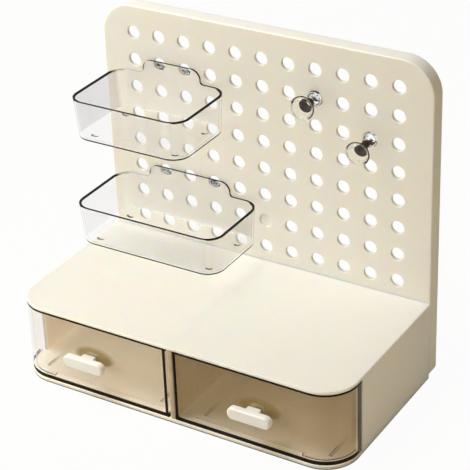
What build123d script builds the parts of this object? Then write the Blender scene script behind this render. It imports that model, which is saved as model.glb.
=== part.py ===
from build123d import *
import os
from math import cos, radians, sin, sqrt, tan

# Desk organizer: a pegboard stands up behind a low cabinet with two clear drawers.
# X runs across (+X is the right hand seen from the front), Y from front to back, Z up.
# The origin lies on the table, under the middle of the whole outline. Millimetres.

# ---------------------------------------------------------------- driving dimensions
# pegboard: one moulded tray, its face to the front and its hollow side to the back
width = 320.0
board_height = 295.0
board_depth = 14.0
board_face = 3.0
board_skirt = 2.5
board_corner = 30.0
board_foot_corner = 6.0
board_edge_round = 1.4
hole_diameter = 12.0
hole_edge_round = 0.5
hole_pitch = 25.65
hole_side_margin = 25.0
hole_low_margin = 10.0
top_row_drop = 24.7
blind_hole_depth = 1.2

# cabinet: top and sides in one moulding, over a base plate
base_depth = 161.0
base_height = 76.0
plan_corner = 30.0
top_thickness = 2.5
top_edge_round = 1.0
side_thickness = 3.6
base_thickness = 3.6
base_edge_round = 0.8
partition_thickness = 4.6
partition_setback = 1.0
joint_tongue = 1.2
joint_gap = 0.1
post_width = 10.0
post_depth = 12.0
rail_height = 10.0

# feet and screws
foot_proud = 1.0
foot_recess = 0.6
foot_diameter = 12.0
foot_inset = 20.0
screw_diameter = 2.6
screw_length = 11.0
screw_head_diameter = 5.2
screw_head_height = 1.6
screw_gap = 0.1
head_recess = 1.8
low_screw_height = 20.0
high_screw_height = 50.0
rail_screw_x = 75.0
partition_screw_reach = 30.0

# drawers: clear trays whose outer front corner follows the cabinet's plan
drawer_wall = 2.5
drawer_floor = 3.0
drawer_straight = 6.0
drawer_step_wall = 5.0
drawer_side_gap = 0.8
drawer_front_gap = 1.0
drawer_top_gap = 0.8
drawer_back_gap = 2.0
drawer_inner_round = 6.0
drawer_outer_round = 9.0
drawer_edge_round = 0.5
runner_height = 0.7
runner_width = 2.4
runner_setback = 17.0
runner_spread = 119.0
slide_gap = 0.1

# handles: a short bar on a stem, its tail snapped through the drawer's front
handle_reach = 12.0
handle_length = 40.0
handle_height = 11.0
handle_thickness = 6.8
handle_end_round = 5.2
handle_face_round = 1.6
stem_width = 12.0
stem_height = 8.0
tail_width = 7.0
tail_height = 4.6
tail_gap = 0.15
clip_width = 12.0
clip_height = 9.0
clip_thickness = 2.0
tail_end = 1.2

# baskets: clear trays that hang from two tongues each
basket_depth = 78.6
basket_height = 37.0
basket_wall = 2.0
basket_floor = 2.0
basket_corner = 16.0
basket_draft = 2.5
basket_bottom_round = 1.6
basket_gap = 0.3
rim_drop = 9.8
tab_rise = 3.0
tab_side = 16.5
tab_corner = 9.0
tab_root_round = 3.0
tongue_width = 7.0
tongue_thickness = 2.4
tongue_reach = 8.0
tongue_play = 0.15
stud_diameter = 6.0
stud_height = 0.8
stud_inset = 15.0
small_basket_width = 115.4
large_basket_width = 147.0

# peg hooks: clear turned knobs with a split plug
plug_diameter = 11.0
plug_length = 8.0
plug_lead = 1.2
plug_slot = 1.8
flange_diameter = 14.0
flange_thickness = 2.2
neck_diameter = 7.0
head_diameter = 21.2
head_thickness = 15.0
head_edge_round = 4.5
head_distance = 22.0
hook_seat_gap = 0.05
lower_hook_droop = 9.0

# ---------------------------------------------------------------- places
depth = board_depth + base_depth + handle_reach
board_back = depth / 2
board_front = board_back - board_depth
base_front = board_front - base_depth
board_bottom = foot_proud
base_bottom = foot_proud
base_top = base_bottom + base_thickness
ceiling = base_height - top_thickness
drawer_step = base_front + plan_corner + drawer_straight
panel_front = drawer_step + drawer_front_gap
post_front = board_front - post_depth
half_width = width / 2
top_row = board_height - top_row_drop
hole_columns = 2 * int((half_width - hole_side_margin) / hole_pitch) + 1
hole_rows = int((top_row - base_height - hole_low_margin) / hole_pitch) + 1
blind_hole = ((hole_columns + 1) // 2, hole_rows - 1)
plan_middle = (base_front + board_front) / 2


def peg_x(column):
    """Sideways place of a column of holes; column 1 is the left one."""
    return (column - (hole_columns + 1) / 2) * hole_pitch


def peg_z(row):
    """Height of a row of holes; row 1 is the top one."""
    return top_row - (row - 1) * hole_pitch


def front_plane(y):
    """Upright plane at a given Y whose extrusions run towards the front."""
    return Plane.XZ.offset(-y)


# ---------------------------------------------------------------- pegboard
open_spots = [
    (peg_x(column), peg_z(row))
    for column in range(1, hole_columns + 1)
    for row in range(1, hole_rows + 1)
    if (column, row) != blind_hole
]
post_screw_x = half_width - side_thickness - post_width / 2
board_screw_spots = [
    (side * post_screw_x, height)
    for side in (-1, 1)
    for height in (low_screw_height, high_screw_height)
]
board_screw_spots += [(side * rail_screw_x, ceiling - rail_height / 2) for side in (-1, 1)]


def board_shape(inset):
    """Board outline: large round top corners, small bottom ones, drawn smaller by inset."""
    height = board_height - board_bottom
    with BuildSketch(front_plane(board_back)) as shape:
        with Locations((0, board_bottom + height / 2)):
            Rectangle(width - 2 * inset, height - 2 * inset)
        fillet(shape.vertices().group_by(Axis.Y)[-1], board_corner - inset)
        fillet(shape.vertices().group_by(Axis.Y)[0], board_foot_corner - inset)
    return shape.sketch


with BuildPart() as pegboard:
    extrude(board_shape(0), amount=board_depth)
    fillet(pegboard.faces().sort_by(Axis.Y)[0].edges(), board_edge_round)
    extrude(board_shape(board_skirt), amount=board_depth - board_face, mode=Mode.SUBTRACT)
    with BuildSketch(front_plane(board_back)):
        with Locations(*open_spots):
            Circle(hole_diameter / 2)
    extrude(amount=board_depth, mode=Mode.SUBTRACT)
    with BuildSketch(front_plane(board_front)):
        with Locations((peg_x(blind_hole[0]), peg_z(blind_hole[1]))):
            Circle(hole_diameter / 2)
    extrude(amount=-blind_hole_depth, mode=Mode.SUBTRACT)
    fillet(pegboard.faces().sort_by(Axis.Y)[0].inner_wires().edges(), hole_edge_round)
    with BuildSketch(front_plane(board_back)):
        with Locations(*board_screw_spots):
            Circle(screw_diameter / 2 + screw_gap)
    extrude(amount=board_depth, mode=Mode.SUBTRACT)

# ---------------------------------------------------------------- cabinet shell
base_screw_spots = [(side * post_screw_x, board_front - post_depth / 2) for side in (-1, 1)]
base_screw_spots += [
    (0, base_front + partition_setback + partition_screw_reach),
    (0, post_front - partition_screw_reach),
]
side_screw_spots = base_screw_spots[:2]


def plan_shape(z):
    """Plan of the cabinet's top and of its base plate, with round front corners."""
    with BuildSketch(Plane.XY.offset(z)) as shape:
        with Locations((0, plan_middle)):
            Rectangle(width, base_depth)
        fillet(shape.vertices().group_by(Axis.Y)[0], plan_corner)
    return shape.sketch


def groove_shape(z, spread):
    """Feet of the two side panels and the partition, widened by spread on each side."""
    panel_length = board_front - panel_front
    partition_length = post_front - base_front - partition_setback
    with BuildSketch(Plane.XY.offset(z)) as shape:
        for side in (-1, 1):
            tongue_x = side * (half_width - side_thickness / 2)
            with Locations((tongue_x, panel_front + panel_length / 2)):
                Rectangle(side_thickness / 2 + 2 * spread, panel_length + 2 * spread)
        with Locations((0, post_front - partition_length / 2)):
            Rectangle(partition_thickness / 2 + 2 * spread, partition_length + 2 * spread)
    return shape.sketch


with BuildPart() as cabinet_shell:
    extrude(plan_shape(ceiling), amount=top_thickness)
    for side in (-1, 1):
        with Locations((side * half_width, panel_front, base_top)):
            Box(
                side_thickness,
                board_front - panel_front,
                ceiling - base_top,
                align=(Align.MIN if side < 0 else Align.MAX, Align.MIN, Align.MIN),
            )
    top_edges = cabinet_shell.faces().sort_by(Axis.Z)[-1].edges()
    fillet(top_edges.sort_by(Axis.Y)[:-1], top_edge_round)
    for side in (-1, 1):
        with Locations((side * (half_width - side_thickness), post_front, base_top)):
            Box(
                post_width,
                post_depth,
                ceiling - base_top,
                align=(Align.MIN if side < 0 else Align.MAX, Align.MIN, Align.MIN),
            )
        with Locations((side * (half_width - side_thickness / 2), panel_front, base_top)):
            Box(
                side_thickness / 2,
                board_front - panel_front,
                joint_tongue,
                align=(Align.CENTER, Align.MIN, Align.MAX),
            )
    with Locations((0, post_front, ceiling)):
        Box(
            width - 2 * side_thickness,
            post_depth,
            rail_height,
            align=(Align.CENTER, Align.MIN, Align.MAX),
        )
    with Locations((0, base_front + partition_setback - joint_gap, ceiling)):
        Box(
            partition_thickness / 2 + 2 * joint_gap,
            post_front - base_front - partition_setback + joint_gap,
            joint_tongue + joint_gap,
            align=(Align.CENTER, Align.MIN, Align.MIN),
            mode=Mode.SUBTRACT,
        )
    with BuildSketch(front_plane(board_front)):
        with Locations(*board_screw_spots):
            Circle(screw_diameter / 2 + screw_gap)
    extrude(amount=screw_length - board_face + screw_gap, mode=Mode.SUBTRACT)
    with BuildSketch(Plane.XY.offset(base_top)):
        with Locations(*side_screw_spots):
            Circle(screw_diameter / 2 + screw_gap)
    extrude(amount=screw_length, mode=Mode.SUBTRACT)

# ---------------------------------------------------------------- partition between the drawers
with BuildPart() as centre_partition:
    partition_length = post_front - base_front - partition_setback
    with Locations((0, base_front + partition_setback, base_top)):
        Box(
            partition_thickness,
            partition_length,
            ceiling - base_top,
            align=(Align.CENTER, Align.MIN, Align.MIN),
        )
    front_edges = centre_partition.faces().sort_by(Axis.Y)[0].edges().filter_by(Axis.Z)
    fillet(front_edges, base_edge_round)
    for height, way in ((base_top, Align.MAX), (ceiling, Align.MIN)):
        with Locations((0, base_front + partition_setback + base_edge_round, height)):
            Box(
                partition_thickness / 2,
                partition_length - base_edge_round,
                joint_tongue,
                align=(Align.CENTER, Align.MIN, way),
            )
    with BuildSketch(Plane.XY.offset(base_top - joint_tongue)):
        with Locations(*base_screw_spots[2:]):
            Circle(screw_diameter / 2 + screw_gap)
    extrude(amount=screw_length, mode=Mode.SUBTRACT)

# ---------------------------------------------------------------- base plate
foot_spots = [
    (side * (half_width - foot_inset), y)
    for side in (-1, 1)
    for y in (base_front + foot_inset, board_front - foot_inset)
]

with BuildPart() as base_plate:
    extrude(plan_shape(base_bottom), amount=base_thickness)
    top_edges = base_plate.faces().sort_by(Axis.Z)[-1].edges()
    fillet(top_edges.sort_by(Axis.Y)[:-1], base_edge_round)
    extrude(groove_shape(base_top, joint_gap), amount=-joint_tongue - joint_gap, mode=Mode.SUBTRACT)
    with BuildSketch(Plane.XY.offset(base_bottom)):
        with Locations(*foot_spots):
            Circle(foot_diameter / 2 + joint_gap)
    extrude(amount=foot_recess, mode=Mode.SUBTRACT)
    with BuildSketch(Plane.XY.offset(base_bottom)):
        with Locations(*base_screw_spots):
            Circle(screw_head_diameter / 2 + screw_gap)
    extrude(amount=head_recess, mode=Mode.SUBTRACT)
    with BuildSketch(Plane.XY.offset(base_bottom)):
        with Locations(*base_screw_spots):
            Circle(screw_diameter / 2 + screw_gap)
    extrude(amount=base_thickness, mode=Mode.SUBTRACT)

with BuildPart() as feet:
    with BuildSketch():
        with Locations(*foot_spots):
            Circle(foot_diameter / 2)
    extrude(amount=foot_proud + foot_recess)
    chamfer(feet.faces().group_by(Axis.Z)[0].edges(), foot_proud / 3)


# ---------------------------------------------------------------- screws
def screw_group(planes):
    """Pan head screws: each plane lies under a head, with its normal along the shank."""
    with BuildPart() as group:
        for seat in planes:
            with BuildSketch(seat):
                Circle(screw_diameter / 2)
            extrude(amount=screw_length)
            with BuildSketch(seat):
                Circle(screw_head_diameter / 2)
            extrude(amount=-screw_head_height)
        with BuildSketch(*[seat.offset(-screw_head_height) for seat in planes]):
            Rectangle(screw_head_diameter / 2, screw_head_height / 3)
            Rectangle(screw_head_height / 3, screw_head_diameter / 2)
        extrude(amount=screw_head_height / 2, mode=Mode.SUBTRACT)
    return group.part


board_screw_seats = [
    Plane(origin=(x, board_front + board_face, z), z_dir=(0, -1, 0)) for x, z in board_screw_spots
]
base_screw_seats = [
    Plane(origin=(x, y, base_bottom + head_recess), z_dir=(0, 0, 1)) for x, y in base_screw_spots
]
board_screws = screw_group(board_screw_seats)
base_screws = screw_group(base_screw_seats)

# ---------------------------------------------------------------- drawers
drawer_bottom = base_top + slide_gap + runner_height
drawer_top = ceiling - drawer_top_gap
drawer_inner_x = partition_thickness / 2 + drawer_side_gap
drawer_body_x = half_width - side_thickness - drawer_side_gap
drawer_back = post_front - drawer_back_gap
handle_x = (drawer_inner_x + half_width) / 2
handle_z = (drawer_bottom + drawer_top) / 2


def drawer_plan(z, inset, left, right, back):
    """Plan of the right-hand drawer between a left and a right side, with its round corner."""
    front = base_front + inset
    with BuildSketch(Plane.XY.offset(z)) as shape:
        with Locations(((left + right) / 2, (front + back) / 2)):
            Rectangle(right - left, back - front)
        round_corner = shape.vertices().group_by(Axis.Y)[0].sort_by(Axis.X)[-1]
        fillet(round_corner, plan_corner - inset)
    return shape.sketch


drawer_height = drawer_top - drawer_bottom
hollow_floor_z = drawer_bottom + drawer_floor
hollow_left = drawer_inner_x + drawer_wall
hollow_right = drawer_body_x - drawer_wall
pocket_left = hollow_right - plan_corner
pocket_right = half_width - drawer_wall
pocket_back = drawer_step - drawer_step_wall

with BuildPart() as drawer_hollow:
    body_plan = drawer_plan(
        hollow_floor_z, drawer_wall, hollow_left, hollow_right, drawer_back - drawer_wall
    )
    extrude(body_plan, amount=drawer_height)
    foot_edges = drawer_hollow.edges().group_by(Axis.Z)[0].filter_by(GeomType.LINE)
    fillet(foot_edges.sort_by(Axis.Y)[1:], drawer_inner_round)
    pocket_plan = drawer_plan(
        hollow_floor_z, drawer_wall, pocket_left, pocket_right, pocket_back
    )
    extrude(pocket_plan, amount=drawer_height)

with BuildPart() as drawer_right:
    tray_plan = drawer_plan(drawer_bottom, 0, drawer_inner_x, drawer_body_x, drawer_back)
    extrude(tray_plan, amount=drawer_height)
    body_edges = drawer_right.edges().filter_by(Axis.Y).group_by(Axis.Z)[0]
    fillet(body_edges.sort_by(Axis.X)[-1], drawer_outer_round)
    front_plan = drawer_plan(drawer_bottom, 0, drawer_inner_x, half_width, drawer_step)
    extrude(front_plan, amount=drawer_height)
    with BuildSketch(front_plane(drawer_back)) as rounding:
        with BuildLine():
            corner = Vector(drawer_inner_x, drawer_bottom)
            beside = corner + Vector(drawer_outer_round, 0)
            above = corner + Vector(0, drawer_outer_round)
            Polyline(beside, corner, above)
            RadiusArc(above, beside, -drawer_outer_round)
        make_face()
    extrude(amount=drawer_back - base_front - drawer_wall, mode=Mode.SUBTRACT)
    add(drawer_hollow.part, mode=Mode.SUBTRACT)
    front_frame = drawer_right.faces().sort_by(Axis.Y)[0].edges()
    fillet(front_frame.filter_by(Axis.Z).sort_by(Axis.X)[0], drawer_edge_round)
    runner_front = base_front + runner_setback
    runner_length = drawer_back - drawer_outer_round - runner_front
    for side in (-1, 1):
        runner_x = handle_x + side * runner_spread / 2
        with Locations((runner_x, runner_front, drawer_bottom)):
            Box(
                runner_width,
                runner_length,
                runner_height,
                align=(Align.CENTER, Align.MIN, Align.MAX),
            )
    with Locations((handle_x, base_front, handle_z)):
        Box(
            tail_width + 2 * tail_gap,
            4 * drawer_wall,
            tail_height + 2 * tail_gap,
            mode=Mode.SUBTRACT,
        )

with BuildPart() as drawer_left:
    mirror(drawer_right.part, about=Plane.YZ)

# ---------------------------------------------------------------- handles and their clips
handle_back = base_front - handle_reach + handle_thickness

with BuildPart() as handle_right:
    with BuildSketch(front_plane(handle_back)) as bar:
        with Locations((handle_x, handle_z)):
            RectangleRounded(handle_length, handle_height, handle_end_round)
    extrude(amount=handle_thickness)
    bar_faces = handle_right.faces().filter_by(Axis.Y)
    fillet(bar_faces.edges(), handle_face_round)
    with Locations((handle_x, base_front, handle_z)):
        Box(
            stem_width,
            base_front - handle_back + handle_face_round,
            stem_height,
            align=(Align.CENTER, Align.MAX, Align.CENTER),
        )
        Box(
            tail_width,
            drawer_wall + clip_thickness + tail_end,
            tail_height,
            align=(Align.CENTER, Align.MIN, Align.CENTER),
        )

with BuildPart() as handle_left:
    mirror(handle_right.part, about=Plane.YZ)

with BuildPart() as handle_clip_right:
    with BuildSketch(front_plane(base_front + drawer_wall + clip_thickness)):
        with Locations((handle_x, handle_z)):
            RectangleRounded(clip_width, clip_height, clip_thickness)
            Rectangle(
                tail_width + 2 * tail_gap,
                tail_height + 2 * tail_gap,
                mode=Mode.SUBTRACT,
            )
    extrude(amount=clip_thickness)

with BuildPart() as handle_clip_left:
    mirror(handle_clip_right.part, about=Plane.YZ)


# ---------------------------------------------------------------- baskets
basket_back = board_front - basket_gap
hole_chord = sqrt((hole_diameter / 2) ** 2 - (tongue_width / 2) ** 2)


def basket_layer(middle, basket_width, z, inset, taper):
    """Plan of a basket at one height, inset by the wall; the taper leaves its back upright."""
    back = basket_back - inset
    front = basket_back - basket_depth + inset + taper
    across = basket_width - 2 * inset - 2 * taper
    with BuildSketch(Plane.XY.offset(z)) as shape:
        with Locations((middle, (front + back) / 2)):
            RectangleRounded(across, back - front, basket_corner - inset)
    return shape.sketch


def hanging_basket(basket_width, columns, row):
    """Clear tray with a raised back tab and a sloping tongue for each of its columns."""
    middle = (peg_x(columns[0]) + peg_x(columns[1])) / 2
    rim_z = peg_z(row) - rim_drop
    bottom_z = rim_z - basket_height
    floor_z = bottom_z + basket_floor
    floor_taper = basket_draft * (1 - basket_floor / basket_height)
    with BuildPart() as hollow:
        hollow_floor = basket_layer(middle, basket_width, floor_z, basket_wall, floor_taper)
        hollow_rim = basket_layer(middle, basket_width, rim_z, basket_wall, 0)
        loft([hollow_floor.face(), hollow_rim.face()], ruled=True)
    with BuildPart() as basket:
        outer_bottom = basket_layer(middle, basket_width, bottom_z, 0, basket_draft)
        outer_rim = basket_layer(middle, basket_width, rim_z, 0, 0)
        loft([outer_bottom.face(), outer_rim.face()], ruled=True)
        fillet(basket.faces().sort_by(Axis.Z)[0].edges(), basket_bottom_round)
        add(hollow.part, mode=Mode.SUBTRACT)
        tab_half = (peg_x(columns[1]) - peg_x(columns[0])) / 2 + tab_side
        tab_top = peg_z(row) + tab_rise
        tab_z = tab_top - tab_corner
        corner_x = tab_half - tab_corner
        root_x = tab_half + tab_root_round
        root_z = rim_z + tab_root_round
        tab_plane = Plane(origin=(middle, basket_back, 0), x_dir=(1, 0, 0), z_dir=(0, -1, 0))
        with BuildSketch(tab_plane):
            with BuildLine():
                Polyline(
                    (-root_x, rim_z),
                    (-root_x, rim_z - basket_wall),
                    (root_x, rim_z - basket_wall),
                    (root_x, rim_z),
                )
                CenterArc((root_x, root_z), tab_root_round, -90, -90)
                Line((tab_half, root_z), (tab_half, tab_z))
                CenterArc((corner_x, tab_z), tab_corner, 0, 90)
                Line((corner_x, tab_top), (-corner_x, tab_top))
                CenterArc((-corner_x, tab_z), tab_corner, 90, 90)
                Line((-tab_half, tab_z), (-tab_half, root_z))
                CenterArc((-root_x, root_z), tab_root_round, 0, -90)
            make_face()
        extrude(amount=basket_wall)
        # each tongue slopes down at 45 degrees behind the board and rests on the hole's back edge
        under_back = peg_z(row) - hole_chord + tongue_play
        fall = tongue_reach - board_face
        rise = board_face + basket_gap
        tall = tongue_thickness * sqrt(2)
        for column in columns:
            side_plane = Plane(
                origin=(peg_x(column) - tongue_width / 2, board_front, 0),
                x_dir=(0, 1, 0),
                z_dir=(1, 0, 0),
            )
            with BuildSketch(side_plane):
                with BuildLine():
                    Polyline(
                        (-basket_gap - basket_wall / 2, under_back + rise + basket_wall / 2),
                        (tongue_reach, under_back - fall),
                        (tongue_reach, under_back - fall + tall),
                        (-basket_gap - basket_wall / 2, under_back + rise + basket_wall / 2 + tall),
                        close=True,
                    )
                make_face()
            extrude(amount=tongue_width)
        stud_x = basket_width / 2 - basket_draft - stud_inset
        stud_front = basket_back - basket_depth + basket_draft + stud_inset
        stud_spots = [
            (middle + side * stud_x, y) for side in (-1, 1) for y in (stud_front, basket_back - stud_inset)
        ]
        with BuildSketch(Plane.XY.offset(bottom_z)):
            with Locations(*stud_spots):
                Circle(stud_diameter / 2)
        extrude(amount=-stud_height)
    return basket.part


basket_small = hanging_basket(small_basket_width, (2, 3), 2)
basket_large = hanging_basket(large_basket_width, (2, 4), hole_rows - 2)


# ---------------------------------------------------------------- peg hooks
def peg_hook(column, row, droop):
    """Turned knob: split plug in the hole, flange on the face, thin neck and a domed head."""
    lean = radians(droop)
    seat_back = hook_seat_gap + flange_diameter / 2 * sin(lean)
    seat_drop = (seat_back + board_face / 2) * tan(lean)
    outwards = Vector(0, -cos(lean), -sin(lean))
    seat = Plane(
        origin=(peg_x(column), board_front - seat_back, peg_z(row) - seat_drop),
        x_dir=outwards,
        z_dir=(1, 0, 0),
    )
    half_head = head_thickness / 2
    rim_centre = head_diameter / 2 - head_edge_round
    face_radius = (rim_centre**2 / (half_head - head_edge_round) + head_edge_round + half_head) / 2
    with BuildPart() as hook:
        with BuildSketch(seat):
            with BuildSketch(mode=Mode.PRIVATE) as head:
                with Locations((head_distance + face_radius - half_head, 0)):
                    Circle(face_radius)
                with Locations((head_distance - face_radius + half_head, 0)):
                    Circle(face_radius, mode=Mode.INTERSECT)
                fillet(head.vertices(), head_edge_round)
            add(head.sketch)
            Rectangle(head_distance, neck_diameter, align=(Align.MIN, Align.CENTER))
            Rectangle(flange_thickness, flange_diameter, align=(Align.MIN, Align.CENTER))
            with BuildLine():
                Polyline(
                    (0, plug_diameter / 2),
                    (plug_lead - plug_length, plug_diameter / 2),
                    (-plug_length, plug_diameter / 2 - plug_lead),
                    (-plug_length, 0),
                    (0, 0),
                    close=True,
                )
            make_face()
            Rectangle(
                2 * (head_distance + head_thickness),
                head_diameter,
                align=(Align.CENTER, Align.MIN),
                mode=Mode.INTERSECT,
            )
        revolve(axis=Axis(seat.origin, outwards))
        flange_rims = hook.edges().filter_by(GeomType.CIRCLE).filter_by(
            lambda edge: abs(edge.radius - flange_diameter / 2) < flange_thickness / 9
        )
        fillet(flange_rims.sort_by(Axis.Y)[0], flange_thickness / 3)
        slot_plane = Plane(origin=seat.origin, x_dir=(1, 0, 0), z_dir=-outwards)
        with BuildSketch(slot_plane.offset(-flange_thickness / 2)):
            Rectangle(plug_diameter, plug_slot)
        extrude(amount=plug_length + flange_thickness, mode=Mode.SUBTRACT)
    return hook.part


peg_hook_upper = peg_hook(hole_columns - 3, 2, 0)
peg_hook_lower = peg_hook(hole_columns - 1, 3, lower_hook_droop)

# ---------------------------------------------------------------- written pieces
pieces = {
    "pegboard": pegboard.part,
    "cabinet_shell": cabinet_shell.part,
    "centre_partition": centre_partition.part,
    "base_plate": base_plate.part,
    "feet": feet.part,
    "board_screws": board_screws,
    "base_screws": base_screws,
    "drawer_left": drawer_left.part,
    "drawer_right": drawer_right.part,
    "handle_left": handle_left.part,
    "handle_right": handle_right.part,
    "handle_clip_left": handle_clip_left.part,
    "handle_clip_right": handle_clip_right.part,
    "basket_small": basket_small,
    "basket_large": basket_large,
    "peg_hook_upper": peg_hook_upper,
    "peg_hook_lower": peg_hook_lower,
}

os.makedirs("parts", exist_ok=True)
for name, piece in pieces.items():
    piece.label = name
    export_step(piece, f"parts/{name}.step")
    box = piece.bounding_box()
    print(name, len(piece.solids()), round(piece.volume), box.min, box.max)
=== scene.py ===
import bmesh
import bpy
import math
from mathutils import Euler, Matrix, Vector


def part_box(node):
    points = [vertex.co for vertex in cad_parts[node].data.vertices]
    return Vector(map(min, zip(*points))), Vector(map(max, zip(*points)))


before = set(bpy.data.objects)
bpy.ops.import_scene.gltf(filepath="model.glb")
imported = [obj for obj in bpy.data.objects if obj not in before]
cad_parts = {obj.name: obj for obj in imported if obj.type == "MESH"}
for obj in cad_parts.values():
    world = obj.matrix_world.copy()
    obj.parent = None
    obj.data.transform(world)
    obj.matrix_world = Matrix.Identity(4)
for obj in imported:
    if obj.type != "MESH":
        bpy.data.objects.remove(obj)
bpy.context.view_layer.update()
print("frame loaded:", len(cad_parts), "nodes")

# the view of the photograph: a long lens from the front right, well above
cameraValues = {
    "place": (0.6886, -1.0655, 0.8499),
    "turn": (60.769, 1.998, 31.071),      # degrees about X, Y and Z
    "lens": 133.2,                        # mm
    "sensor": 36.0,                       # mm
    "near": 0.05,
    "far": 60.0,
}


def makeCamera(values):
    data = bpy.data.cameras.new("camera")
    data.lens = values["lens"]
    data.sensor_width = values["sensor"]
    data.clip_start = values["near"]
    data.clip_end = values["far"]
    camera = bpy.data.objects.new("camera", data)
    camera.location = values["place"]
    camera.rotation_euler = Euler([math.radians(angle) for angle in values["turn"]], "XYZ")
    bpy.context.scene.collection.objects.link(camera)
    bpy.context.scene.camera = camera


makeCamera(cameraValues)
print("camera placed")

softEdge = 0.0002                         # metres over which a painted line fades out


# one output of a node; arithmetic written on it adds Math nodes
class Wire:
    def __init__(self, graph, socket):
        self.graph = graph
        self.socket = socket

    def math(self, operation, *values):
        return self.graph.node("ShaderNodeMath", {"operation": operation}, *values)

    def __add__(self, other):
        return self.math("ADD", self, other)

    def __radd__(self, other):
        return self.math("ADD", other, self)

    def __sub__(self, other):
        return self.math("SUBTRACT", self, other)

    def __rsub__(self, other):
        return self.math("SUBTRACT", other, self)

    def __mul__(self, other):
        return self.math("MULTIPLY", self, other)

    def __rmul__(self, other):
        return self.math("MULTIPLY", other, self)

    def __truediv__(self, other):
        return self.math("DIVIDE", self, other)

    def __rtruediv__(self, other):
        return self.math("DIVIDE", other, self)

    def __pow__(self, other):
        return self.math("POWER", self, other)

    def __abs__(self):
        return self.math("ABSOLUTE", self)

    def least(self, other):
        return self.math("MINIMUM", self, other)

    def most(self, other):
        return self.math("MAXIMUM", self, other)

    # 0 below the place, 1 above it, with a soft step in between
    def above(self, place, soft=softEdge):
        return self.graph.node(
            "ShaderNodeMapRange",
            {"interpolation_type": "SMOOTHSTEP"},
            self - place, -soft, soft, 0.0, 1.0,
        )

    def below(self, place, soft=softEdge):
        return 1.0 - self.above(place, soft)

    def between(self, low, high, soft=softEdge):
        return self.above(low, soft) * self.below(high, soft)


# the nodes of a material or of the world
class Graph:
    def __init__(self, owner, outputKind):
        owner.use_nodes = True
        self.tree = owner.node_tree
        self.tree.nodes.clear()
        self.output = self.tree.nodes.new(outputKind)

    def put(self, socket, value):
        if isinstance(value, Wire):
            self.tree.links.new(value.socket, socket)
        elif socket.type == "RGBA" and len(value) == 3:
            socket.default_value = (*value, 1.0)
        else:
            socket.default_value = value

    def putNamed(self, node, named):
        for socketName, value in named.items():
            self.put(node.inputs[socketName.replace("_", " ")], value)

    def node(self, kind, settings, *values, out=0, **named):
        node = self.tree.nodes.new(kind)
        for key, value in settings.items():
            setattr(node, key, value)
        for index, value in enumerate(values):
            self.put(node.inputs[index], value)
        self.putNamed(node, named)
        return Wire(self, node.outputs[out])

    def mix(self, factor, first, second):
        mixed = self.node("ShaderNodeMix", {"data_type": "RGBA"}, factor, out=2)
        self.put(mixed.socket.node.inputs[6], first)       # the two colours
        self.put(mixed.socket.node.inputs[7], second)
        return mixed

    # 1 for a ray of one kind, such as a shadow ray
    def ray(self, kind):
        return self.node("ShaderNodeLightPath", {}, out="Is " + kind + " Ray")

    # 1 where the background is seen: straight on, mirrored or through something clear
    def seen(self):
        return self.ray("Camera").most(self.ray("Glossy")).most(self.ray("Transmission"))

    def surface(self, wire):
        self.put(self.output.inputs["Surface"], wire)


# a material with its Principled shader; the constants go on the shader's own sockets
class Finish(Graph):
    def __init__(self, name, **constants):
        self.material = bpy.data.materials.new(name)
        super().__init__(self.material, "ShaderNodeOutputMaterial")
        self.principled = self.node("ShaderNodeBsdfPrincipled", {}, **constants)
        self.surface(self.principled)

    # places and normals are read in the piece's own space, so they travel with it
    def place(self):
        return self.node("ShaderNodeTexCoord", {}, out="Object")

    def split(self, vector):
        parts = self.node("ShaderNodeSeparateXYZ", {}, vector).socket.node
        return [Wire(self, output) for output in parts.outputs]

    def axes(self):
        return self.split(self.place())

    def facing(self):
        return self.split(self.node("ShaderNodeTexCoord", {}, out="Normal"))

    # 0 for a face seen square on, 1 for one seen from its edge
    def glance(self):
        return self.node("ShaderNodeLayerWeight", {}, 0.5, out="Facing")

    def noise(self, size, detail, stretch=(1.0, 1.0, 1.0)):
        place = self.node("ShaderNodeMapping", {}, self.place(), Scale=stretch)
        return self.node("ShaderNodeTexNoise", {}, place, Scale=1.0 / size, Detail=detail)

    def bump(self, height, distance, strength):
        return self.node(
            "ShaderNodeBump", {}, Height=height, Distance=distance, Strength=strength
        )

    def set(self, **wires):
        self.putNamed(self.principled.socket.node, wires)
        return self


def dress(nodeNames, finish):
    for nodeName in nodeNames:
        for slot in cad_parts[nodeName].material_slots:
            slot.material = finish.material


def dimmed(colour, share):
    return tuple(share * channel for channel in colour)


# cream moulding: satin, with a fine grain, faint flow marks and a few handling smudges;
# painted shade in the side panels' front seams and above the feet, and a painted glow on the
# faces round the drawers
creamValues = {
    "colour": (0.858, 0.834, 0.772),
    "warmColour": (0.850, 0.822, 0.750),
    "cloudSize": 0.05,                    # of the warmer flow marks
    "roughness": 0.46,
    "grainRoughness": 0.10,
    "grainSize": 0.0007,
    "grainDepth": 0.000012,
    "smudgeRoughness": 0.07,
    "smudgeSize": 0.018,
    "creepDepth": 0.003,                  # how far light creeps through the moulding
    "creepColour": (1.0, 0.75, 0.45),
    "paintedGlowStrength": 0.25,                  # painted glow: emission standing in for light that comes through the walls from outside
    "paintedGlowColour": (1.0, 0.74, 0.43),
    "insideHalf": 0.1582,                 # half width of the room for the drawers
    "insideFront": -0.0925,
    "insideBack": 0.0600,
    "insideLeft": 0.84,                   # share of that painted glow left of the partition
    "insideMiddle": 0.18,                 # share just right of it
    "insideRise": 3.2,                    # growth of that share per metre to the right
    "seamShadeColour": (0.16, 0.12, 0.09),
    "seamFront": -0.0475,                 # painted shade in the seams at the side panels' front edges
    "seamBack": -0.0445,
    "seamHalf": 0.1555,
    "seamTop": 0.0955,
    "contactShadowHeight": 0.0011,              # painted contact shadow: the dark line above the feet
    "contactShadowCover": 0.9,
}
# the partition's colour is painted darker and browner: painted shade for the deep shade
# between the drawers
partitionValues = {
    **creamValues,
    "colour": (0.42, 0.345, 0.25),
    "warmColour": (0.34, 0.27, 0.19),
    "cloudSize": 0.006,
}


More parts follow.
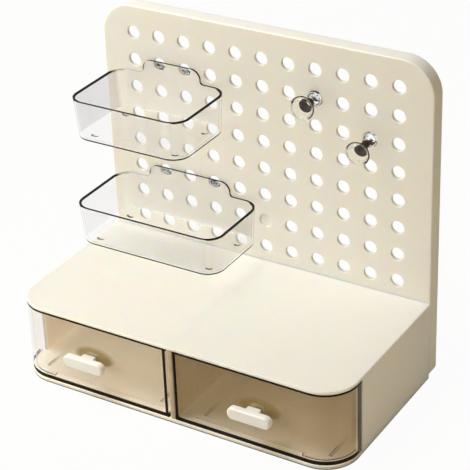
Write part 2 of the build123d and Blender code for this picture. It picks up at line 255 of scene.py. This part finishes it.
def creamFinish(name, values):
    finish = Finish(
        name,
        IOR=1.46,
        Subsurface_Weight=1.0,
        Subsurface_Radius=values["creepColour"],
        Subsurface_Scale=values["creepDepth"],
        Emission_Strength=values["paintedGlowStrength"],
    )
    lowZ, floorZ = (corner.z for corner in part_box("base_plate"))
    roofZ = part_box("cabinet_shell")[1].z
    grain = finish.noise(values["grainSize"], 3.0)
    cloud = finish.noise(values["cloudSize"], 2.0)
    smudge = finish.noise(values["smudgeSize"], 4.0, (1.0, 1.0, 0.4)).above(0.62, 0.12)
    colour = finish.mix(cloud.above(0.5, 0.3), values["colour"], values["warmColour"])
    x, y, z = finish.axes()
    across = abs(x)
    forwards = finish.facing()[1].below(-0.5, 0.2)
    # painted shade in the seams at the side panels' front edges
    seamShade = y.between(values["seamFront"], values["seamBack"]) * forwards
    seamShade = seamShade * across.above(values["seamHalf"]) * z.below(values["seamTop"])
    # painted contact shadow above the feet
    contactShadow = z.below(lowZ + values["contactShadowHeight"])
    # painted glow: emission on the faces inside the room for the drawers
    paintedGlow = z.between(floorZ - 0.0006, roofZ - 0.0005)    # short of the top's outer face
    paintedGlow = paintedGlow * y.between(values["insideFront"], values["insideBack"])
    paintedGlow = paintedGlow * across.below(values["insideHalf"]) * (1.0 - seamShade)
    left = x.below(0.0, 0.003)
    right = (values["insideMiddle"] + values["insideRise"] * x) * (1.0 - left)
    paintedGlow = paintedGlow * (values["insideLeft"] * left + right)
    # painted shade: the seams' shade and the contact shadow go into the base colour
    paintedDark = seamShade.most(values["contactShadowCover"] * contactShadow)
    rough = values["roughness"] + values["grainRoughness"] * (grain - 0.5)
    return finish.set(
        Base_Color=finish.mix(paintedDark, colour, values["seamShadeColour"]),
        Emission_Color=finish.mix(paintedGlow, (0.0, 0.0, 0.0), values["paintedGlowColour"]),
        Roughness=rough - values["smudgeRoughness"] * smudge,
        Normal=finish.bump(grain, values["grainDepth"], 0.5),
    )


# the handles and their clips: a smoother, whiter moulding
handleValues = {
    "colour": (0.925, 0.915, 0.865),
    "dimShare": 0.97,                     # brightness of its faint clouds
    "cloudSize": 0.012,
    "roughness": 0.36,
    "grainRoughness": 0.08,
    "grainSize": 0.0005,
    "grainDepth": 0.000006,
    "coat": 0.15,
}


def handleFinish(values):
    finish = Finish("handlePlastic", IOR=1.48, Coat_Weight=values["coat"])
    grain = finish.noise(values["grainSize"], 3.0)
    cloud = finish.noise(values["cloudSize"], 2.0).above(0.55, 0.2)
    dimColour = dimmed(values["colour"], values["dimShare"])
    return finish.set(
        Base_Color=finish.mix(cloud, values["colour"], dimColour),
        Roughness=values["roughness"] + values["grainRoughness"] * (grain - 0.5),
        Normal=finish.bump(grain, values["grainDepth"], 0.5),
    )


dress(["pegboard", "cabinet_shell", "base_plate"], creamFinish("creamPlastic", creamValues))
dress(["centre_partition"], creamFinish("creamShade", partitionValues))
dress(
    ["handle_left", "handle_right", "handle_clip_left", "handle_clip_right"],
    handleFinish(handleValues),
)
print("cream pieces dressed")

# clear plastic: see-through walls that mirror more at a glancing angle, with painted dark
# lines where a wall is seen end on, painted highlights beside them, and on some faces a thin
# painted veil that paints shade and what is seen through the wall
clearValues = {
    # painted colours: the dark lines, the highlights, the veil and the shade behind a
    # handle's stem
    "line": (0.008, 0.006, 0.005),
    "gleam": (0.95, 0.95, 0.93),
    "paintedVeil": (0.64, 0.64, 0.73),
    "stemShade": (0.36, 0.26, 0.09),
    "lineCover": 0.985,                   # how much of what lies behind each one hides
    "gleamCover": 0.90,
    "paintedVeilCover": 0.20,
    "stemShadeCover": 0.52,
    "mirror": 0.022,                      # share mirrored by a face seen square on
    "mirrorPower": 5.0,
    "specular": 0.02,
    "cloudSize": 0.02,
    "roughness": 0.03,
    "cloudRoughness": 0.04,
    "lineRoughness": 0.25,
    "lightShadow": 0.85,                  # share of the cover that a shadow ray skips
}


def startClear(nodeName, values):
    return Finish("clear_" + nodeName, Specular_IOR_Level=values["specular"])


def endClear(finish, values, line, gleam, paintedVeil, stemShade=0.0):
    cloud = finish.noise(values["cloudSize"], 3.0)
    glancing = finish.glance() ** values["mirrorPower"]
    mirror = values["mirror"] + (1.0 - values["mirror"]) * glancing
    # the painted veil and the painted shade behind a stem tint the pale colour; the painted
    # dark lines go over all
    tone = finish.mix(paintedVeil, values["gleam"], values["paintedVeil"])
    tone = finish.mix(stemShade, tone, values["stemShade"])
    cover = mirror * (1.0 - 0.7 * paintedVeil)                    # a face under the painted veil mirrors less
    cover = cover.most(values["paintedVeilCover"] * (0.85 + 0.3 * cloud) * paintedVeil)
    cover = cover.most(values["stemShadeCover"] * stemShade)
    cover = cover.most(values["gleamCover"] * gleam).most(values["lineCover"] * line)
    rough = values["roughness"] + values["cloudRoughness"] * cloud
    return finish.set(
        Base_Color=finish.mix(line, tone, values["line"]),
        Metallic=1.0 - line.most(gleam).most(paintedVeil).most(stemShade),
        Roughness=rough + values["lineRoughness"] * line.most(gleam),
        Alpha=cover * (1.0 - values["lightShadow"] * finish.ray("Shadow")),
    )


drawerValues = {
    **clearValues,
    "paintedVeil": (0.86, 0.79, 0.68),
    "paintedVeilCover": 0.17,
    "paintedVeilCorner": False,                  # whether the painted veil goes round the outer corner
    "mirror": 0.045,
    "rimHeight": 0.0012,                  # painted dark line round the top
    "footTop": 0.0093,                    # painted dark line round the foot, and the painted highlight on it
    "footGleam": 0.0102,
    "frontEnd": -0.0512,                  # the front with its round corner ends here
    "innerLine": (0.0036, 0.0065),        # painted dark upright beside the partition, and its painted highlight
    "innerGleam": 0.0074,
    "innerEnd": -0.0808,
    "wrapLine": (-0.0528, -0.0461),       # painted dark upright where the corner meets the side
    "wrapHalf": 0.1592,
    "wrapCover": 0.0,
    "gleamShare": 0.4,
    "runnerHalf": 0.0595,                 # the runners underneath, painted as dark outlines seen through the bottom
    "runnerHeight": 0.0006,
    "runnerSeen": 0.035,
    "runnerFade": 0.025,
    "runnerCover": 0.8,
    "stemShadePlace": (0.0045, 0.0035),        # painted shade: a dark patch behind the handle's stem
    "stemShadeSize": (0.0210, 0.0095),
}
# the right drawer lies deeper in the shade, so its veil is painted darker as painted shade;
# its round corner faces the eye, with a painted dark upright where it meets the side
drawerRightValues = {
    **drawerValues,
    "paintedVeil": (0.56, 0.42, 0.23),
    "paintedVeilCover": 0.22,
    "paintedVeilCorner": True,
    "wrapCover": 0.92,
}


def drawerFinish(nodeName, handleName, outward, values):
    low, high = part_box(nodeName)
    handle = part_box(handleName)
    middle = (handle[0] + handle[1]) / 2
    finish = startClear(nodeName, values)
    x, y, z = finish.axes()
    nx, ny, nz = finish.facing()
    across = x * outward
    upright = 1.0 - abs(nz).above(0.6, 0.1)
    outer = y.below(values["frontEnd"])
    inner = y.below(values["innerEnd"])
    lineEnd = values["innerLine"][1]
    # painted dark lines: round the top and the foot, beside the partition, at the corner and
    # along the runners
    rim = z.above(high.z - values["rimHeight"])
    foot = z.below(values["footTop"]) * upright * outer
    edge = across.between(*values["innerLine"]) * inner
    wrap = across.above(values["wrapHalf"]) * y.between(*values["wrapLine"])
    runner = abs(abs(x - middle.x) - values["runnerHalf"]).above(0.0004, 0.0003)
    runner = runner * z.below(low.z + values["runnerHeight"])
    runner = runner * y.below(low.y + values["runnerSeen"], values["runnerFade"])
    line = foot.most(rim).most(edge).most(values["wrapCover"] * wrap)
    line = line.most(values["runnerCover"] * runner)
    # painted highlights beside the dark lines
    gleam = z.between(values["footTop"], values["footGleam"]) * upright * outer
    gleam = gleam.most(across.between(lineEnd, values["innerGleam"]) * inner)
    # painted veil on the front
    front = outer * (upright if values["paintedVeilCorner"] else ny.below(-0.88, 0.1))
    # painted shade behind the handle's stem
    beside = (x - middle.x - values["stemShadePlace"][0]) / values["stemShadeSize"][0]
    higher = (z - middle.z - values["stemShadePlace"][1]) / values["stemShadeSize"][1]
    stemShade = (beside * beside + higher * higher).below(0.85, 0.35) * front.above(0.2, 0.1)
    return endClear(finish, values, line, values["gleamShare"] * gleam, front, stemShade)


dress(["drawer_left"], drawerFinish("drawer_left", "handle_left", -1.0, drawerValues))
dress(["drawer_right"], drawerFinish("drawer_right", "handle_right", 1.0, drawerRightValues))

basketValues = {
    **clearValues,
    "rimDrop": 0.0128,                    # from the tab's top to the rim
    "rimHeight": 0.0012,                  # painted dark line round the rim
    "rimNarrow": 0.0009,                  # how much narrower it is on the front wall
    "rimDistant": 0.45,                   # how much paler at the far left
    "wallBack": 0.0083,                   # the back wall's rear face, from the tongues' end
    "footLine": (0.0008, 0.0028),         # painted dark line round the bottom, and its painted highlight
    "footGleam": 0.0040,
    "footShare": 0.5,
    # painted highlight along the foot of the back wall
    "backGleam": (0.0016, 0.0030),
    "studInset": 0.0165,                  # studs underneath, painted as dark arcs
    "studBack": 0.015,
    "studRadius": 0.0036,
    "studHeight": 0.0011,
    "paintedPatches": 0.0034,                     # painted dark patches and painted glints on the tongues
    # painted dark edge where a wall is seen from its edge
    "edgeCover": 0.8,
    # painted veil: on the left wall, and fainter on the flat faces
    "leftPaintedVeil": 1.0,
    "frontPaintedVeil": 0.35,
}
largeBasketValues = {
    **basketValues,
    "leftPaintedVeil": 0.5,
}


def basketFinish(nodeName, values):
    low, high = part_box(nodeName)
    middle = (low + high) / 2
    rimZ = high.z - values["rimDrop"]
    wallBack = high.y - values["wallBack"]
    studX = (high.x - low.x) / 2 - values["studInset"]
    studFront = low.y + values["studInset"]
    studBack = wallBack - values["studBack"]
    footLow, footHigh = (low.z + height for height in values["footLine"])
    backLow, backHigh = (low.z + height for height in values["backGleam"])
    finish = startClear(nodeName, values)
    x, y, z = finish.axes()
    nx, ny, nz = finish.facing()
    behind = y.above(wallBack + 0.0004)                    # the tongues
    before = 1.0 - behind
    steep = 1.0 - abs(nz).above(0.93, 0.04)
    flat = abs(ny).above(0.9, 0.05)
    outward = (nx * (x - middle.x) + ny * (y - middle.y)).above(0.0, 0.001)
    turned = outward * nx.above(0.15, 0.1).most(ny.below(-0.15, 0.1))
    distant = y.above(wallBack - 0.010, 0.003) * x.below(middle.x, 0.01)
    distant = distant * z.below(rimZ + 0.004, 0.002)
    # painted dark lines: round the rim and the foot, the studs' arcs, the tongues' patches
    # and the edge
    rimLow = rimZ - values["rimHeight"] + values["rimNarrow"] * ny.below(-0.9, 0.05)
    rim = z.above(rimLow) * before * (1.0 - flat * y.above(wallBack - 0.0027))
    rim = rim * (1.0 - values["rimDistant"] * distant)
    foot = z.between(footLow, footHigh) * steep * turned
    along = abs(x - middle.x) - studX
    beside = y - (studFront + (studBack - studFront) * y.above(middle.y))
    disc = ((along * along + beside * beside) ** 0.5).below(values["studRadius"])
    stud = z.below(low.z + values["studHeight"]) * disc * beside.below(-0.0002)
    # painted dark patches and painted glints on the tongues
    patch = finish.noise(values["paintedPatches"], 0.0)
    paintedDark = behind * patch.below(0.46, 0.02)
    glint = behind * patch.above(0.48, 0.02)
    # painted dark edge where a wall is seen from its edge
    edge = finish.glance().above(0.86, 0.05) * outward * abs(nz).below(0.4, 0.1) * before
    # painted highlights above the foot line and along the back wall's foot
    gleam = z.between(footHigh, low.z + values["footGleam"]) * steep * turned
    gleam = gleam.most(z.between(backLow, backHigh) * flat * y.above(middle.y))
    # painted veil: darker on the left wall, faint on the flat faces
    leftWall = abs(nx).above(0.8, 0.1) * x.below(middle.x) * before
    return endClear(
        finish,
        values,
        rim.most(foot).most(stud).most(paintedDark).most(values["edgeCover"] * edge),
        (values["footShare"] * gleam).most(glint),
        (values["leftPaintedVeil"] * leftWall).most(values["frontPaintedVeil"] * flat * before),
    )


dress(["basket_small"], basketFinish("basket_small", basketValues))
dress(["basket_large"], basketFinish("basket_large", largeBasketValues))

# hooks: a painted dark neck, dark arcs and collar rings, painted highlights and a painted
# veil on the clear head
hookValues = {
    **clearValues,
    "line": (0.034, 0.022, 0.016),
    "paintedVeil": (0.60, 0.56, 0.47),
    "paintedVeilCover": 0.16,
    "droop": 0.0,                         # fall of the hook per metre towards the front
    "headRadius": 0.0106,
    "headPlace": 0.022,                   # these places are distances before the board
    "headBack": 0.0140,
    "neckFront": 0.0170,
    "neckBack": 0.0080,
    "neckRadius": 0.0062,
    "collarFront": 0.0026,
    # sizes of the patches in the painted neck shade, highlights and collar rings
    "neckPatchSize": 0.0018,
    "collarPatchSize": 0.0050,
    "rings": (0.0037, 0.0048, 0.0050, 0.0058, 0.0066),     # radii of the painted bright and dark rings on the collar
    "upperArc": 0.0030,                   # the painted dark arcs start this far from the middle
    "rightArc": 0.0060,
    "gleamShare": 0.8,
}
droopingHookValues = {
    **hookValues,
    "droop": 0.158,
}


def hookFinish(nodeName, values):
    low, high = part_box(nodeName)
    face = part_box("pegboard")[0].y
    middle = (low + high) / 2
    headZ = high.z - values["headRadius"]
    headY = face - values["headPlace"]
    firstRing, secondRing, thirdRing, fourthRing, lastRing = values["rings"]
    finish = startClear(nodeName, values)
    x, y, z = finish.axes()
    nx, ny, nz = finish.facing()
    paintedPatches = finish.noise(values["neckPatchSize"], 3.0)
    patch = finish.noise(values["collarPatchSize"], 1.0)
    glance = finish.glance()
    side = x - middle.x
    rise = z - headZ - values["droop"] * (y - headY)
    radius = (side * side + rise * rise) ** 0.5
    # painted shade: the neck seen dark through the head
    neck = y.between(face - values["neckFront"], face - values["neckBack"])
    neck = neck * radius.below(values["neckRadius"]) * (0.90 + 0.20 * paintedPatches)
    head = y.below(face - values["headBack"])
    # painted dark arcs round the head's rim
    upper = nz.above(0.30, 0.15) * rise.above(values["upperArc"], 0.0020)
    right = nx.above(0.55, 0.15) * side.above(values["rightArc"], 0.0020)
    edge = head * glance.above(0.40, 0.08) * upper.most(right)
    # painted highlights on the head
    shine = head * glance.between(0.20, 0.50, 0.06)
    shine = shine * nx.above(0.30, 0.10) * paintedPatches.above(0.44, 0.06)
    collar = y.above(face - values["collarFront"])
    # painted dark and bright rings on the collar
    rings = radius.between(thirdRing, fourthRing) * patch.above(0.46, 0.05)
    rings = rings.most(radius.above(lastRing) * patch.below(0.52, 0.05))
    bright = radius.between(firstRing, secondRing) * patch.above(0.5, 0.05)
    bright = bright.most(radius.between(fourthRing, lastRing))
    return endClear(
        finish,
        values,
        neck.least(1.0).most(edge).most(collar * rings),
        values["gleamShare"] * shine.most(collar * bright),
        head * ny.above(-0.3, 0.1),
    )


dress(["peg_hook_upper"], hookFinish("peg_hook_upper", hookValues))
dress(["peg_hook_lower"], hookFinish("peg_hook_lower", droopingHookValues))
print("clear pieces dressed")

# screws: brushed steel
screwValues = {
    "colour": (0.50, 0.50, 0.52),
    "brightColour": (0.62, 0.62, 0.64),
    "roughness": 0.28,
    "brushRoughness": 0.12,
    "brushSize": 0.0003,
    "brushDepth": 0.00001,
}
# feet: grainy black rubber
footValues = {
    "colour": (0.020, 0.020, 0.020),
    "paleColour": (0.040, 0.039, 0.037),
    "roughness": 0.70,
    "grainRoughness": 0.15,
    "grainSize": 0.0006,
    "grainDepth": 0.00003,
}


def screwFinish(values):
    finish = Finish("screwSteel", Metallic=1.0)
    brush = finish.noise(values["brushSize"], 4.0, (1.0, 1.0, 0.1))
    return finish.set(
        Base_Color=finish.mix(brush, values["colour"], values["brightColour"]),
        Roughness=values["roughness"] + values["brushRoughness"] * brush,
        Normal=finish.bump(brush, values["brushDepth"], 0.4),
    )


def footFinish(values):
    finish = Finish("footRubber", IOR=1.5)
    grain = finish.noise(values["grainSize"], 3.0)
    return finish.set(
        Base_Color=finish.mix(grain, values["colour"], values["paleColour"]),
        Roughness=values["roughness"] + values["grainRoughness"] * grain,
        Normal=finish.bump(grain, values["grainDepth"], 0.6),
    )


dress(["board_screws", "base_screws"], screwFinish(screwValues))
dress(["feet"], footFinish(footValues))
print("screws and feet dressed")

# white table top that keeps the object's soft shadow
stageValues = {
    "half": 3.0,
    "floor": (0.74, 0.67, 0.55),
    "dimShare": 0.99,                     # brightness of its faint fibres
    "fibreSize": 0.01,
    "glow": 0.96,                         # share of plain white where the floor is seen
    "world": 0.190,
    "worldColour": (1.0, 0.92, 0.73),
    "white": (1.0, 1.0, 1.0),
}


def makeFloor(values):
    mesh = bpy.data.meshes.new("floor")
    form = bmesh.new()
    half = values["half"]
    spots = ((-half, -half), (half, -half), (half, half), (-half, half))
    form.faces.new([form.verts.new((x, y, 0.0)) for x, y in spots])
    form.to_mesh(mesh)
    form.free()
    floor = bpy.data.objects.new("floor", mesh)
    bpy.context.scene.collection.objects.link(floor)
    finish = Finish("floorPaper", Roughness=0.9)
    fibre = finish.noise(values["fibreSize"], 3.0)
    dimColour = dimmed(values["floor"], values["dimShare"])
    finish.set(Base_Color=finish.mix(fibre, values["floor"], dimColour))
    white = finish.node("ShaderNodeEmission", {}, values["white"], 1.0)
    share = finish.seen() * values["glow"]
    finish.surface(finish.node("ShaderNodeMixShader", {}, share, finish.principled, white))
    mesh.materials.append(finish.material)


def makeWorld(values):
    world = bpy.data.worlds.new("world")
    bpy.context.scene.world = world
    sky = Graph(world, "ShaderNodeOutputWorld")
    soft = sky.node("ShaderNodeBackground", {}, values["worldColour"], values["world"])
    white = sky.node("ShaderNodeBackground", {}, values["white"], 1.0)
    sky.surface(sky.node("ShaderNodeMixShader", {}, sky.seen(), soft, white))


# a broad key lamp above the front left, a weaker fill low on that side, and a faint warm
# lamp low on the right; the last two aren't mirrored in the clear walls
lampValues = {
    "key": {
        "place": (-0.60, -0.32, 1.50),
        "size": 0.8,
        "power": 20.8,
        "colour": (1.0, 1.0, 0.99),
        "mirrored": True,
    },
    "fill": {
        "place": (-0.95, -0.85, 0.20),
        "size": 0.5,
        "power": 6.4,
        "colour": (1.0, 0.99, 0.96),
        "mirrored": False,
    },
    "side": {
        "place": (0.62, -0.10, 0.05),
        "size": 0.3,
        "power": 0.40,
        "colour": (1.0, 0.82, 0.50),
        "mirrored": False,
    },
}
lampTarget = Vector((0.0, 0.0, 0.12))


def makeLamp(name, values):
    data = bpy.data.lights.new(name, "AREA")
    data.shape = "SQUARE"
    data.size = values["size"]
    data.energy = values["power"]
    data.color = values["colour"]
    lamp = bpy.data.objects.new(name, data)
    place = Vector(values["place"])
    lamp.location = place
    lamp.rotation_euler = (lampTarget - place).to_track_quat("-Z", "Y").to_euler()
    lamp.visible_glossy = values["mirrored"]
    bpy.context.scene.collection.objects.link(lamp)


makeFloor(stageValues)
makeWorld(stageValues)
for lampName, lampSettings in lampValues.items():
    makeLamp(lampName, lampSettings)
bpy.context.scene.view_settings.view_transform = "Standard"
print("stage and lamps made")
